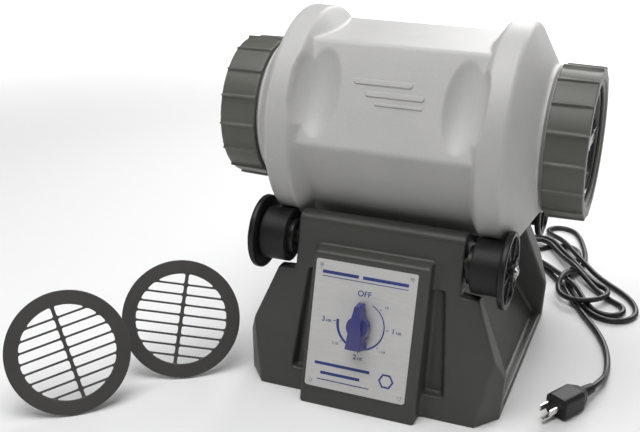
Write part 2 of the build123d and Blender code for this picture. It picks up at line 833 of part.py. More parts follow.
def motor_brackets():
    """Two pressed brackets that carry the rotor's shaft and stand on the bottom plate."""
    floor = PLATE_Z + PLATE_T
    with BuildPart() as brackets:
        for side in (-1, 1):
            near = side * (STACK_T / 2 + 5)
            with BuildSketch(shaft_plane(min(near, near + side * 2), MOTOR_Y, 0)):
                with Locations((0, (floor + MOTOR_Z + 14) / 2)):
                    Rectangle(60, MOTOR_Z + 14 - floor)
            extrude(amount=2)
            with BuildSketch(Plane.XY.offset(floor)):
                with Locations((near + side * 8, MOTOR_Y)):
                    Rectangle(16, 60)
            extrude(amount=2)
            with BuildSketch(motor_plane(min(near, near + side * 6))):
                Circle(7)
            extrude(amount=6)
            with BuildSketch(Plane.XY.offset(floor - 1)):
                with Locations((near + side * 9, MOTOR_Y - 20), (near + side * 9, MOTOR_Y + 20)):
                    Circle(1.6)
            extrude(amount=4, mode=Mode.SUBTRACT)
        with BuildSketch(motor_plane(-40)):
            Circle(MOTOR_SHAFT_R + FIT)
        extrude(amount=80, mode=Mode.SUBTRACT)
    write(brackets, "motor_brackets")


def motor_screws():
    """Four long screws through the iron frame and brackets' feet."""
    floor = PLATE_Z + PLATE_T + 2
    spots = [(side * (STACK_T / 2 + 14), MOTOR_Y + y) for side in (-1, 1) for y in (-20, 20)]
    with BuildPart() as screws:
        with BuildSketch(Plane.XY.offset(floor)):
            with Locations(*spots):
                RegularPolygon(3.2, 6)
        extrude(amount=2.4)
        with BuildSketch(Plane.XY.offset(PLATE_Z + PLATE_T)):
            with Locations(*spots):
                Circle(1.55)
        extrude(amount=2.4)
    write(screws, "motor_screws")


def motor_rotor():
    with BuildPart() as rotor:
        with BuildSketch(motor_plane(BELT_X - BELT_W / 2 - 3)):
            Circle(MOTOR_SHAFT_R)
        extrude(amount=FAN_X + 12 - BELT_X + BELT_W / 2 + 3)
        with BuildSketch(motor_plane(-STACK_T / 2)):
            Circle(ROTOR_R)
        extrude(amount=STACK_T)
    write(rotor, "motor_rotor")


def pulley(x, y, z, core, bore, name):
    """A flat-belt pulley with a rim on each side."""
    with BuildPart() as wheel:
        with BuildSketch(shaft_plane(x - BELT_W / 2 - 1.5, y, z)):
            Circle(core + PULLEY_RIM)
        extrude(amount=BELT_W + 3)
        with BuildSketch(shaft_plane(x - BELT_W / 2, y, z)):
            Circle(core + PULLEY_RIM + 1)
            Circle(core, mode=Mode.SUBTRACT)
        extrude(amount=BELT_W, mode=Mode.SUBTRACT)
        with BuildSketch(shaft_plane(x - BELT_W, y, z)):
            Circle(bore)
        extrude(amount=2 * BELT_W, mode=Mode.SUBTRACT)
    write(wheel, name)


def belt_loop(grow):
    """The closed line that a belt follows round both pulleys, grown outward."""
    with BuildSketch(Plane.YZ.offset(BELT_X - BELT_W / 2 + 0.5)) as loop:
        with Locations((MOTOR_Y, MOTOR_Z)):
            Circle(MOTOR_PULLEY_R + FIT + grow)
        with Locations((ROLLER_Y, ROLLER_Z)):
            Circle(DRIVE_PULLEY_R + FIT + grow)
        make_hull()
    return loop.sketch


def drive_belt():
    with BuildPart() as belt:
        extrude(belt_loop(BELT_T), amount=BELT_W - 1)
        extrude(belt_loop(0), amount=BELT_W - 1, mode=Mode.SUBTRACT)
    write(belt, "drive_belt")


def fan_blade():
    """One twisted blade, standing up from the fan's axis."""
    with BuildPart() as blade:
        with BuildSketch(Plane(origin=(FAN_X + FAN_W / 2, 0, 5), z_dir=(0, 0, 1))):
            Rectangle(FAN_W, 1.4, rotation=32)
        extrude(amount=FAN_R - 5, taper=-6)
    return blade.part


def cooling_fan():
    upright = fan_blade()
    turns = [360 / FAN_BLADES * turn for turn in range(FAN_BLADES)]
    blades = [upright.moved(Location((0, MOTOR_Y, MOTOR_Z), (turn, 0, 0))) for turn in turns]
    with BuildPart() as fan:
        with BuildSketch(motor_plane(FAN_X)):
            Circle(8)
        extrude(amount=FAN_W)
        add(blades)
        with BuildSketch(motor_plane(FAN_X - 1)):
            Circle(MOTOR_SHAFT_R)
        extrude(amount=20, mode=Mode.SUBTRACT)
    write(fan, "cooling_fan")


# ---------------------------------------------------------------- strainers

def strainer_plane(x, y, facing, roll):
    """The front face of a disc that stands on its rim at x, y and leans back."""
    lean = math.radians(STRAINER_LEAN)
    turn = math.radians(facing)
    spin = math.radians(roll)
    flat = Vector(math.sin(turn), -math.cos(turn), 0)
    normal = flat * math.cos(lean) + Vector(0, 0, math.sin(lean))
    level = Vector(math.cos(turn), math.sin(turn), 0)
    height = STRAINER_R * math.cos(lean) + STRAINER_T * math.sin(lean) + 0.02
    centre = Vector(x, y, height) - flat * (STRAINER_R * math.sin(lean))
    return Plane(origin=centre, x_dir=level * math.cos(spin) + normal.cross(level) * math.sin(spin),
                 z_dir=normal)


def strainer(x, y, facing, roll, name):
    """A slatted disc: a wide ring, a rib across it and thin bars square to the rib."""
    disc = strainer_plane(x, y, facing, roll)
    with BuildPart() as plate:
        with BuildSketch(disc.offset(-STRAINER_T)):
            Circle(STRAINER_R)
        extrude(amount=STRAINER_T)
        chamfer(plate.edges(), 0.8)
        with BuildSketch(disc.offset(-STRAINER_T - 1)):
            Circle(STRAINER_OPENING_R)
        extrude(amount=STRAINER_T + 2, mode=Mode.SUBTRACT)
        with BuildSketch(disc.offset(-STRAINER_T + 0.6)):
            Rectangle(STRAINER_RIB_W, 2 * STRAINER_OPENING_R + 2)
            with Locations(*[(0, BAR_TOP - BAR_PITCH * i) for i in range(BARS)]):
                Rectangle(2 * STRAINER_OPENING_R + 2, BAR_W)
            with Locations((0, 0)):
                Circle(STRAINER_OPENING_R + 1, mode=Mode.INTERSECT)
        extrude(amount=STRAINER_T - 1.2)
    write(plate, f"strainer_{name}")


# ---------------------------------------------------------------- power cord

def cord_tube(route, name):
    """A stretch of the cord: straight runs joined by arcs as large as the runs allow."""
    points = [Vector(*p) for p in route]
    radii = []
    for before, here, after in zip(points, points[1:], points[2:]):
        turn = math.radians((here - before).get_angle(after - here))
        run = min((here - before).length, (after - here).length)
        radii.append(0.45 * run / math.tan(turn / 2))
    start = Plane(origin=route[0], z_dir=(points[1] - points[0]).normalized())
    with BuildPart() as tube:
        with BuildLine() as path:
            FilletPolyline(*route, radius=radii)
        with BuildSketch(start):
            Circle(CORD_D / 2)
        sweep(path=path.line)
    length = path.wire().length
    print(name, "radii", [round(r) for r in radii], "length", round(length))
    section = math.pi * CORD_D ** 2 / 4
    print(name, "volume", round(tube.part.volume), "section x length", round(section * length))
    write(tube, name)


def strain_relief():
    """The boot that holds the cord in the rear wall."""
    wall_y = REAR_Y - REAR_SLOPE * EXIT_Z
    exit_plane = Plane(origin=(EXIT_X, wall_y + 1.2, EXIT_Z), x_dir=(1, 0, 0), z_dir=(0, 1, 0))
    with BuildPart() as boot:
        with BuildSketch(exit_plane):
            Circle(9)
        extrude(amount=2.5)
        with BuildSketch(exit_plane):
            Circle(BOOT_NECK_R - FIT)
        extrude(amount=-6.5)
        with BuildSketch(exit_plane.offset(2.5)):
            Circle(7)
        with BuildSketch(exit_plane.offset(BOOT_TIP_Y - wall_y - 1.2)):
            Circle(CORD_D / 2 + 1)
        loft()
        with BuildSketch(exit_plane.offset(-10)):
            Circle(CORD_D / 2 - 1)
        extrude(amount=12, mode=Mode.SUBTRACT)
    write(boot, "strain_relief")


def cord_bundle():
    """The loosely folded middle of the cord, as one closed solid of its outer shape."""
    with BuildPart() as bundle:
        with BuildSketch():
            with BuildLine():
                Polyline(*BUNDLE_OUTLINE, close=True)
            make_face()
            fillet(vertices(), 8)
        extrude(amount=BUNDLE_H)
        top = bundle.faces().sort_by(Axis.Z)[-1]
        chamfer(top.edges(), 6)
    write(bundle, "cord_bundle")


def plug():
    """A moulded three-pin plug lying on the floor."""
    direction = Vector(*PLUG_AIM).normalized()
    sideways = Vector(-direction.Y, direction.X, 0)
    nose = Plane(origin=PLUG_START, x_dir=sideways, z_dir=direction)
    with BuildPart() as body:
        with BuildSketch(nose):
            Circle(5.2)
        with BuildSketch(nose.offset(18)):
            Circle(7)
        loft()
        with BuildSketch(nose.offset(18)):
            RectangleRounded(17, 15, 4)
        with BuildSketch(nose.offset(PLUG_GRIP)):
            RectangleRounded(27, 24, 6)
        loft()
        with BuildSketch(nose.offset(PLUG_GRIP)):
            RectangleRounded(27, 24, 6)
        extrude(amount=PLUG_FACE - PLUG_GRIP)
        chamfer(body.faces().sort_by(Axis((0, 0, 0), PLUG_AIM))[-1].edges(), 1)
    write(body, "plug_body")
    with BuildPart() as blades:
        with BuildSketch(nose.offset(PLUG_FACE)):
            with Locations((-6.35, 2.5), (6.35, 2.5)):
                Rectangle(1.5, 6.5)
        extrude(amount=17)
    write(blades, "plug_blades")
    with BuildPart() as pin:
        with BuildSketch(nose.offset(PLUG_FACE)):
            with Locations((0, -7)):
                Circle(2.4)
        extrude(amount=20)
        chamfer(pin.faces().sort_by(Axis((0, 0, 0), PLUG_AIM))[-1].edges(), 1)
    write(pin, "plug_ground_pin")


def main():
    barrel_shell()
    barrel_liner()
    for side, name in ((-1, "left"), (1, "right")):
        gasket(side, name)
        window(side, name)
        collar(side, name)
    rollers()
    shaft_bushings()
    base_housing()
    bottom_plate()
    bottom_screws()
    rubber_feet()
    label_plate()
    label_rivets()
    timer_body()
    timer_nut()
    timer_shaft()
    timer_knob()
    motor_stack()
    motor_coil()
    motor_brackets()
    motor_screws()
    motor_rotor()
    cooling_fan()
    pulley(BELT_X, MOTOR_Y, MOTOR_Z, MOTOR_PULLEY_R, MOTOR_SHAFT_R, "motor_pulley")
    pulley(BELT_X, ROLLER_Y, ROLLER_Z, DRIVE_PULLEY_R, SHAFT_R, "drive_pulley")
    drive_belt()
    strainer(-272, -281, 38, 13, "left")
    strainer(-200.7, -175.3, 30, -11, "right")
    strain_relief()
    cord_tube(LEAD_ROUTE, "cord_lead")
    cord_bundle()
    cord_tube(TAIL_ROUTE, "cord_tail")
    plug()


main()
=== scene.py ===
"""Looks for the rotary rock tumbler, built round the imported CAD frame. Metres, +Z up, +X along the barrel."""
import json
import math

import bmesh
import bpy
import numpy as np
from mathutils import Matrix, Vector

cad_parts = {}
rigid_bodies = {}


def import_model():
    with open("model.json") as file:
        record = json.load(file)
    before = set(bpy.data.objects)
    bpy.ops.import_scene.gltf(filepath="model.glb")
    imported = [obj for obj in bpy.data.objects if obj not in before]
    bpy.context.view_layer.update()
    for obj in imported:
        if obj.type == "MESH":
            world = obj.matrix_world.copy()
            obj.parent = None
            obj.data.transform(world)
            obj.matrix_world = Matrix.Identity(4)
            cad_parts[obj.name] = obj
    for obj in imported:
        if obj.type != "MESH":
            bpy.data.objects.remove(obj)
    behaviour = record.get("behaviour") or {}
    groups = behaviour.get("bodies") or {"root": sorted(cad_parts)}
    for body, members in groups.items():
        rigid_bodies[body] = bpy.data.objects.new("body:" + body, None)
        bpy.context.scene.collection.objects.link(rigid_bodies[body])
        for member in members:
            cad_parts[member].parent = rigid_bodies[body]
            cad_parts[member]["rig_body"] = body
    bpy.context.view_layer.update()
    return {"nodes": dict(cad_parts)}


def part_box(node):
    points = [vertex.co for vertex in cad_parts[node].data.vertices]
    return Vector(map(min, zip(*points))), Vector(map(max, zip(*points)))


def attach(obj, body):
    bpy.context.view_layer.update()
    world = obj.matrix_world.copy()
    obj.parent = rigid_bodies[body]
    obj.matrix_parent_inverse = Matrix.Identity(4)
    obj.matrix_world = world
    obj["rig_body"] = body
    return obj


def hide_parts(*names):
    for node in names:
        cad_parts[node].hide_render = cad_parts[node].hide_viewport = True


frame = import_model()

NODES = frame["nodes"]
BODY = {name: o["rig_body"] for name, o in NODES.items()}
MM = 0.001


# ---------------------------------------------------------------- camera, floor and light

CAMERA_PLACE = (0.294, -1.002, 0.603)
CAMERA_TURN, CAMERA_RISE = 21.9, 23.1                   # degrees to the panel's right and above the floor
LAMP_AIM = (0, 0, 0.2)
LAMPS = (                                               # name, place, width and height, watts
    ("top_box", (-0.15, -0.45, 1.9), (1.6, 1.6), 31),
    ("top_back_box", (-0.1, 0.5, 1.9), (1.6, 1.2), 8),
    ("left_box", (-1.7, -0.6, 0.9), (0.9, 1.3), 2.5),
    ("right_box", (1.8, -0.3, 0.8), (0.8, 1.2), 3.5),
    ("back_box", (0.3, 1.9, 1.2), (1.6, 0.8), 31),
)
FLOOR_HALF, FLOOR_GREY = 12, 0.85
GLOW_FROM, GLOW_TO, GLOW = 0.9, 2.2, 0.95               # the far floor's own light, by distance
SKY_FROM, SKY_TO = 0.10, 0.22                           # the sky fades between these heights
SKY_LOW, SKY_HIGH = 0.55, 0.02


def links(owner):
    return owner.node_tree.nodes, owner.node_tree.links


def fade_between(nodes, joints, value, start, end, low, high):
    node = nodes.new("ShaderNodeMapRange")
    node.interpolation_type = "SMOOTHSTEP"
    node.inputs["From Min"].default_value, node.inputs["From Max"].default_value = start, end
    node.inputs["To Min"].default_value, node.inputs["To Max"].default_value = low, high
    joints.new(value, node.inputs["Value"])
    return node.outputs["Result"]


def camera():
    data = bpy.data.cameras.new("camera")
    data.lens = 56.25
    data.sensor_width = 36.0
    data.clip_start, data.clip_end = 0.05, 30.0
    cam = bpy.data.objects.new("camera", data)
    bpy.context.scene.collection.objects.link(cam)
    turn, rise = math.radians(CAMERA_TURN), math.radians(CAMERA_RISE)
    back = Vector((math.sin(turn) * math.cos(rise), -math.cos(turn) * math.cos(rise), math.sin(rise)))
    cam.location = CAMERA_PLACE
    cam.rotation_mode = "QUATERNION"
    cam.rotation_quaternion = back.to_track_quat("Z", "Y")
    bpy.context.scene.camera = cam


def area_light(name, place, aim, size, watts):
    data = bpy.data.lights.new(name, "AREA")
    data.shape = "RECTANGLE"
    data.size, data.size_y = size
    data.energy = watts
    lamp = bpy.data.objects.new(name, data)
    bpy.context.scene.collection.objects.link(lamp)
    lamp.location = place
    lamp.rotation_mode = "QUATERNION"
    lamp.rotation_quaternion = (Vector(place) - Vector(aim)).to_track_quat("Z", "Y")


def light_far_floor(paint, shader):
    """The floor stays pale beyond the reach of the lamps, all the way round."""
    nodes, joints = links(paint)
    away = nodes.new("ShaderNodeVectorMath")
    away.operation = "LENGTH"
    joints.new(nodes.new("ShaderNodeNewGeometry").outputs["Position"], away.inputs[0])
    glow = fade_between(nodes, joints, away.outputs["Value"], GLOW_FROM, GLOW_TO, 0.0, GLOW)
    shader.inputs["Emission Color"].default_value = (1, 1, 1, 1)
    joints.new(glow, shader.inputs["Emission Strength"])


def studio():
    """A pale floor under soft boxes, and a sky that is pale at the horizon."""
    world = bpy.data.worlds.new("studio")
    bpy.context.scene.world = world
    world.use_nodes = True
    sky = world.node_tree.nodes["Background"]
    sky.inputs["Color"].default_value = (1, 1, 1, 1)
    nodes, joints = links(world)
    height = nodes.new("ShaderNodeSeparateXYZ")
    joints.new(nodes.new("ShaderNodeNewGeometry").outputs["Position"], height.inputs[0])
    fade = fade_between(nodes, joints, height.outputs["Z"], SKY_FROM, SKY_TO, SKY_LOW, SKY_HIGH)
    joints.new(fade, sky.inputs["Strength"])
    bpy.context.scene.view_settings.view_transform = "Standard"
    for name, place, size, watts in LAMPS:
        area_light(name, place, LAMP_AIM, size, watts)
    bm = bmesh.new()
    bmesh.ops.create_grid(bm, x_segments=2, y_segments=2, size=FLOOR_HALF)
    data = bpy.data.meshes.new("floor")
    bm.to_mesh(data)
    bm.free()
    floor = bpy.data.objects.new("floor", data)
    bpy.context.scene.collection.objects.link(floor)
    paint = bpy.data.materials.new("floor_paint")
    paint.use_nodes = True
    shader = paint.node_tree.nodes["Principled BSDF"]
    shader.inputs["Base Color"].default_value = (FLOOR_GREY, FLOOR_GREY, FLOOR_GREY, 1)
    shader.inputs["Roughness"].default_value = 0.9
    data.materials.append(paint)
    light_far_floor(paint, shader)


# ---------------------------------------------------------------- materials

def noise(nodes, joints, place, scale, detail, stretch=(1, 1, 1)):
    mapping = nodes.new("ShaderNodeMapping")
    mapping.inputs["Scale"].default_value = stretch
    joints.new(place, mapping.inputs["Vector"])
    tex = nodes.new("ShaderNodeTexNoise")
    tex.inputs["Scale"].default_value = scale
    tex.inputs["Detail"].default_value = detail
    joints.new(mapping.outputs["Vector"], tex.inputs["Vector"])
    return tex.outputs["Fac"]


def ramp(nodes, joints, value, low, high, start=0.3, end=0.7):
    node = nodes.new("ShaderNodeValToRGB")
    node.color_ramp.elements[0].position, node.color_ramp.elements[1].position = start, end
    node.color_ramp.elements[0].color = (*low, 1)
    node.color_ramp.elements[1].color = (*high, 1)
    joints.new(value, node.inputs["Fac"])
    return node.outputs["Color"]


def spread(nodes, joints, value, low, high, start=0.3, end=0.7):
    node = nodes.new("ShaderNodeMapRange")
    node.inputs["From Min"].default_value, node.inputs["From Max"].default_value = start, end
    node.inputs["To Min"].default_value, node.inputs["To Max"].default_value = low, high
    joints.new(value, node.inputs["Value"])
    return node.outputs["Result"]


def finish_of(name, low, high, rough, grain=700.0, depth=0.00012, bump=0.5, metal=0.0, stretch=(1, 1, 1),
              broad=9.0, edge=None, specular=0.5, coat=0.0):
    """A surface whose colour drifts between low and high, with a fine grain in its gloss and height, and a
    painted highlight on its sharp edges where an edge colour is given.
    """
    mat = bpy.data.materials.new(name)
    mat.use_nodes = True
    nodes, joints = links(mat)
    shader = nodes["Principled BSDF"]
    shader.inputs["Metallic"].default_value = metal
    shader.inputs["Specular IOR Level"].default_value = specular
    shader.inputs["Coat Weight"].default_value = coat
    place = nodes.new("ShaderNodeTexCoord").outputs["Object"]
    drift = noise(nodes, joints, place, broad, 4, stretch)
    fine = noise(nodes, joints, place, grain, 3, stretch)
    colour = ramp(nodes, joints, drift, low, high)
    speck = nodes.new("ShaderNodeMix")
    speck.data_type, speck.blend_type = "RGBA", "MULTIPLY"
    speck.inputs["Factor"].default_value = 0.35
    joints.new(colour, speck.inputs["A"])
    joints.new(ramp(nodes, joints, fine, (0.72, 0.72, 0.72), (1, 1, 1)), speck.inputs["B"])
    colour = speck.outputs["Result"]
    # painted highlight: the colour is lifted towards the lighter edge colour along sharp convex edges
    if edge:
        edge_highlight = nodes.new("ShaderNodeAttribute")
        edge_highlight.attribute_name = "edge"
        lift = nodes.new("ShaderNodeMix")
        lift.data_type = "RGBA"
        joints.new(edge_highlight.outputs["Fac"], lift.inputs["Factor"])
        joints.new(colour, lift.inputs["A"])
        lift.inputs["B"].default_value = (*edge, 1)
        colour = lift.outputs["Result"]
    joints.new(colour, shader.inputs["Base Color"])
    joints.new(spread(nodes, joints, fine, rough[0], rough[1]), shader.inputs["Roughness"])
    height = nodes.new("ShaderNodeBump")
    height.inputs["Strength"].default_value = bump
    height.inputs["Distance"].default_value = depth
    joints.new(fine, height.inputs["Height"])
    joints.new(height.outputs["Normal"], shader.inputs["Normal"])
    return mat


def window_plastic():
    """Clear plastic that looks smoky against the dark barrel."""
    mat = finish_of("window_plastic", (0.10, 0.10, 0.105), (0.16, 0.16, 0.165), (0.06, 0.16), 160,
                    0.0002, 0.25)
    shader = mat.node_tree.nodes["Principled BSDF"]
    shader.inputs["Transmission Weight"].default_value = 0.55
    shader.inputs["IOR"].default_value = 1.5
    return mat


def make_materials():
    m = {}
    # The edge colours given below are painted highlights along sharp edges.
    m["barrel"] = finish_of("barrel_plastic", (0.43, 0.428, 0.42), (0.50, 0.496, 0.487), (0.42, 0.55),
                            900, 0.00022, 0.6)
    m["housing"] = finish_of("housing_plastic", (0.044, 0.045, 0.0385), (0.058, 0.059, 0.051),
                             (0.36, 0.52), 1100, 0.00022, 0.6, edge=(0.11, 0.11, 0.10))
    m["collar"] = finish_of("collar_plastic", (0.076, 0.0765, 0.065), (0.098, 0.0985, 0.084),
                            (0.38, 0.52), 900, 0.00018, 0.5, edge=(0.21, 0.207, 0.19))
    m["hub"] = finish_of("hub_plastic", (0.007, 0.007, 0.0065), (0.012, 0.012, 0.0115), (0.30, 0.44),
                         700, 0.00012, 0.4, edge=(0.035, 0.035, 0.033), specular=0.35)
    m["rubber"] = finish_of("roller_rubber", (0.007, 0.007, 0.007), (0.013, 0.013, 0.0125),
                            (0.40, 0.60), 1300, 0.0002, 0.7, specular=0.35)
    m["liner"] = finish_of("liner_rubber", (0.010, 0.010, 0.010), (0.018, 0.018, 0.018), (0.5, 0.7),
                           500, 0.0003, 0.7)
    m["strainer"] = finish_of("strainer_plastic", (0.050, 0.048, 0.046), (0.066, 0.063, 0.060),
                              (0.38, 0.55), 1000, 0.00018, 0.5, edge=(0.10, 0.097, 0.094))
    m["steel"] = finish_of("bright_steel", (0.50, 0.50, 0.50), (0.62, 0.62, 0.61), (0.18, 0.34), 900,
                           0.00005, 0.4, 1.0, (0.04, 1, 1))
    m["zinc"] = finish_of("zinc_plate", (0.42, 0.42, 0.41), (0.60, 0.60, 0.58), (0.28, 0.46), 500,
                          0.00008, 0.4, 1.0)
    m["nickel"] = finish_of("nickel_blades", (0.60, 0.58, 0.54), (0.74, 0.72, 0.68), (0.14, 0.28), 900,
                            0.00005, 0.3, 1.0)
    m["copper"] = finish_of("copper_winding", (0.42, 0.14, 0.05), (0.60, 0.24, 0.10), (0.25, 0.4), 1500,
                            0.0003, 0.9, 1.0, (1, 0.02, 1))
    m["laminations"] = finish_of("motor_laminations", (0.16, 0.16, 0.16), (0.30, 0.30, 0.29),
                                 (0.35, 0.6), 1600, 0.0002, 0.8, 0.9, (1, 0.02, 0.02))
    m["label"] = finish_of("label_metal", (0.62, 0.612, 0.60), (0.72, 0.712, 0.70), (0.38, 0.55), 900,
                           0.00004, 0.3, 0.35, (0.05, 1, 1))
    m["ink"] = finish_of("blue_print", (0.020, 0.040, 0.20), (0.028, 0.055, 0.26), (0.45, 0.6), 1500,
                         0.00003, 0.2)
    m["knob"] = finish_of("knob_plastic", (0.022, 0.022, 0.16), (0.032, 0.032, 0.22), (0.16, 0.26), 500,
                          0.00005, 0.3, edge=(0.10, 0.11, 0.42), coat=0.5)
    m["cord"] = finish_of("cord_vinyl", (0.008, 0.008, 0.008), (0.013, 0.013, 0.013), (0.32, 0.46), 900,
                          0.0001, 0.4)
    m["plug"] = finish_of("plug_vinyl", (0.005, 0.005, 0.0048), (0.009, 0.009, 0.0085), (0.38, 0.54),
                          1100, 0.0002, 0.5, edge=(0.03, 0.03, 0.029), specular=0.35)
    m["belt"] = finish_of("belt_rubber", (0.010, 0.010, 0.010), (0.020, 0.020, 0.020), (0.5, 0.7), 900,
                          0.0004, 0.9, stretch=(3, 0.2, 0.2))
    m["fan"] = finish_of("fan_plastic", (0.30, 0.30, 0.29), (0.38, 0.38, 0.37), (0.35, 0.5), 700,
                         0.0001, 0.4)
    m["brass"] = finish_of("bushing_bronze", (0.44, 0.28, 0.12), (0.58, 0.38, 0.17), (0.3, 0.5), 1200,
                           0.0001, 0.5, 1.0)
    m["window"] = window_plastic()
    return m


MAT = {}


# ---------------------------------------------------------------- mesh helpers

def new_piece(name, data, mat, body, replaces=()):
    piece = bpy.data.objects.new(name, data)
    bpy.context.scene.collection.objects.link(piece)
    data.materials.clear()
    data.materials.append(MAT[mat])
    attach(piece, body)
    if replaces:
        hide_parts(*replaces)
    return piece


def mesh_of(name, points, faces, smooth=True):
    data = bpy.data.meshes.new(name)
    data.from_pydata([tuple(p) for p in points], [], [tuple(f) for f in faces])
    data.update()
    if smooth:
        data.shade_smooth()
    return data


def mark_edges(data, passes=2):
    """Stores how sharply each point stands out of its surroundings, which the painted edge highlight reads."""
    n = len(data.vertices)
    co = np.empty(n * 3)
    data.vertices.foreach_get("co", co)
    co = co.reshape(-1, 3)
    normal = np.empty(n * 3)
    data.vertices.foreach_get("normal", normal)
    normal = normal.reshape(-1, 3)
    ends = np.empty(len(data.edges) * 2, int)
    data.edges.foreach_get("vertices", ends)
    a, b = ends.reshape(-1, 2).T
    count = np.maximum(np.bincount(a, minlength=n) + np.bincount(b, minlength=n), 1)

    def mean(values):
        return (np.bincount(a, values[b], n) + np.bincount(b, values[a], n)) / count

    around = np.stack([mean(co[:, k]) for k in range(3)], axis=1)
    step = np.linalg.norm(co[a] - co[b], axis=1).mean()
    out = ((co - around) * normal).sum(1) / step
    for _ in range(passes):
        out = 0.5 * out + 0.5 * mean(out)
    value = np.clip(out * 2.2 - 0.12, 0, 1).astype(np.float32)
    data.attributes.new("edge", "FLOAT", "POINT").data.foreach_set("value", value)


def apply_all(piece):
    dg = bpy.context.evaluated_depsgraph_get()
    data = bpy.data.meshes.new_from_object(piece.evaluated_get(dg))
    old = piece.data
    piece.modifiers.clear()
    piece.data = data
    bpy.data.meshes.remove(old)
    return data


def soften(piece, voxel, passes, faces):
    """Remeshes a piece so that its edges turn slightly round, and marks how sharp they are."""
    weld = piece.modifiers.new("weld", "WELD")
    weld.merge_threshold = 0.00001
    remesh = piece.modifiers.new("remesh", "REMESH")
    remesh.mode, remesh.voxel_size = "VOXEL", voxel
    smooth = piece.modifiers.new("smooth", "SMOOTH")
    smooth.factor, smooth.iterations = 0.5, passes
    data = apply_all(piece)
    if len(data.polygons) > faces:
        thin = piece.modifiers.new("thin", "DECIMATE")
        thin.ratio = faces / len(data.polygons)
        data = apply_all(piece)
    data.shade_smooth()
    mark_edges(data)
    return data


def moulded(node, mat, voxel, passes, faces=90000):
    """The CAD node with moulded, slightly rounded edges."""
    data = NODES[node].data.copy()
    if data.attributes.get("custom_normal"):
        data.attributes.remove(data.attributes["custom_normal"])
    piece = new_piece(node + "_moulded", data, mat, BODY[node], (node,))
    data = soften(piece, voxel, passes, faces)
    data.materials.clear()
    data.materials.append(MAT[mat])
    return piece


def dress(names, mat):
    """A CAD node that keeps its own mesh gets its material."""
    for name in names:
        data = NODES[name].data
        data.materials.clear()
        data.materials.append(MAT[mat])


# ---------------------------------------------------------------- cord

ROUTE = [                                               # millimetres, from the boot to the plug
    (60, 174, 25), (60, 197, 25), (61, 221, 14), (66, 246, 3.5), (75, 271, 3.5), (88, 292, 3.5),
    (103, 309, 3.5),
    # under the parallel runs and round to the waist
    (119, 323, 3.5), (137, 332, 3.5), (152, 326, 3.5), (158.5, 308, 3.5), (160, 286, 3.5),
    (157, 263, 3.5),
    # the big loop
    (154, 240, 3.5), (156, 217, 3.5), (165, 195, 3.5), (176, 172, 3.5), (188.5, 151, 3.5),
    (204, 135, 3.5), (223, 130, 3.5), (241, 138, 3.5), (250, 156, 3.5), (248, 177, 3.5),
    (239, 197, 3.5), (224, 215, 3.7), (205, 231, 4.8),
    # back over the waist to the outer top loop
    (187, 248, 7.2), (172, 268, 10.5), (157, 291, 11), (143, 315, 11), (129, 337, 10), (114, 354, 7),
    (103, 371, 4.7), (106, 388, 3.7), (122, 395, 3.5), (139, 388, 3.5), (149, 371, 3.5),
    (156, 351, 3.6), (162, 330, 3.6), (167, 308, 3.7), (169.5, 286, 3.7), (166.5, 262.5, 3.5),
    # the small loop lies on top
    (160, 241.5, 7.2), (154, 222, 17.3), (149.5, 203, 17), (148, 184, 11.6), (155, 167, 9.5),
    (170, 157, 10.5), (188, 157, 11.6), (203, 168, 11.5), (211.5, 184, 11.2), (210, 201.5, 9.5),
    (197.5, 214, 7.6), (182.5, 229, 8.2),
    # middle run, and left over the lead
    (169, 247, 11.8), (154.5, 269.5, 12.2), (139.5, 293, 11), (126, 315.5, 11.2), (112.5, 334, 9.2),
    (95, 344, 6.2), (77, 339, 4.4), (66, 323, 4.6), (66, 303, 7), (76, 286, 10.2), (89, 272, 10.9),
    # down to the lower run and the inner loop
    (105, 259, 10.6), (122, 246.5, 10.9), (140, 230.5, 9.8), (156.5, 212.5, 10.5), (171, 194, 10.5),
    (182.5, 173.5, 6.8), (194.5, 155.5, 3.6), (209, 144, 3.5), (224.5, 144.5, 3.6), (234.5, 156, 3.6),
    (233.5, 171.5, 3.6), (221.5, 182, 3.5), (205, 194.5, 3.5), (189, 211, 7.4),
    # the left of the parallel runs, and left over the lead again
    (172.5, 230.5, 13), (158, 251, 14.6), (143, 272.5, 11.6), (129.5, 295.5, 10.3), (116.5, 317, 10.8),
    (101, 329, 9), (85, 325, 7.4), (77, 311, 8.2), (80, 295, 10.6), (92, 281, 10.2), (104, 268, 6.5),
    # under the waist and out to the plug
    (116.5, 254, 3.8), (130.5, 236.5, 3.5), (145, 215.5, 3.6), (158, 192.5, 3.6), (169.5, 169.5, 3.5),
    (183, 145.5, 3.5), (197.5, 121.5, 3.5), (212.5, 95, 3.5), (225, 64, 3.5), (231.5, 33, 3.5),
    (233.5, 3, 5), (232, -24, 12.5), (223.6, -44.05, 12.5),
]
CORD_D = 0.007


def cord():
    """The whole cord as one smooth curve, in place of its three CAD runs."""
    data = bpy.data.curves.new("mains_cord", "CURVE")
    data.dimensions = "3D"
    data.resolution_u = 8
    data.bevel_depth = CORD_D / 2
    data.bevel_resolution = 5
    data.use_fill_caps = True
    line = data.splines.new("NURBS")
    line.points.add(len(ROUTE) - 1)
    for point, (x, y, z) in zip(line.points, ROUTE):
        point.co = (x * MM, y * MM, z * MM, 1)
    line.order_u = 3
    line.use_endpoint_u = True
    line.resolution_u = 8
    return new_piece("mains_cord", data, "cord", "base",
                     ("cord_lead", "cord_bundle", "cord_tail"))


# ---------------------------------------------------------------- barrel

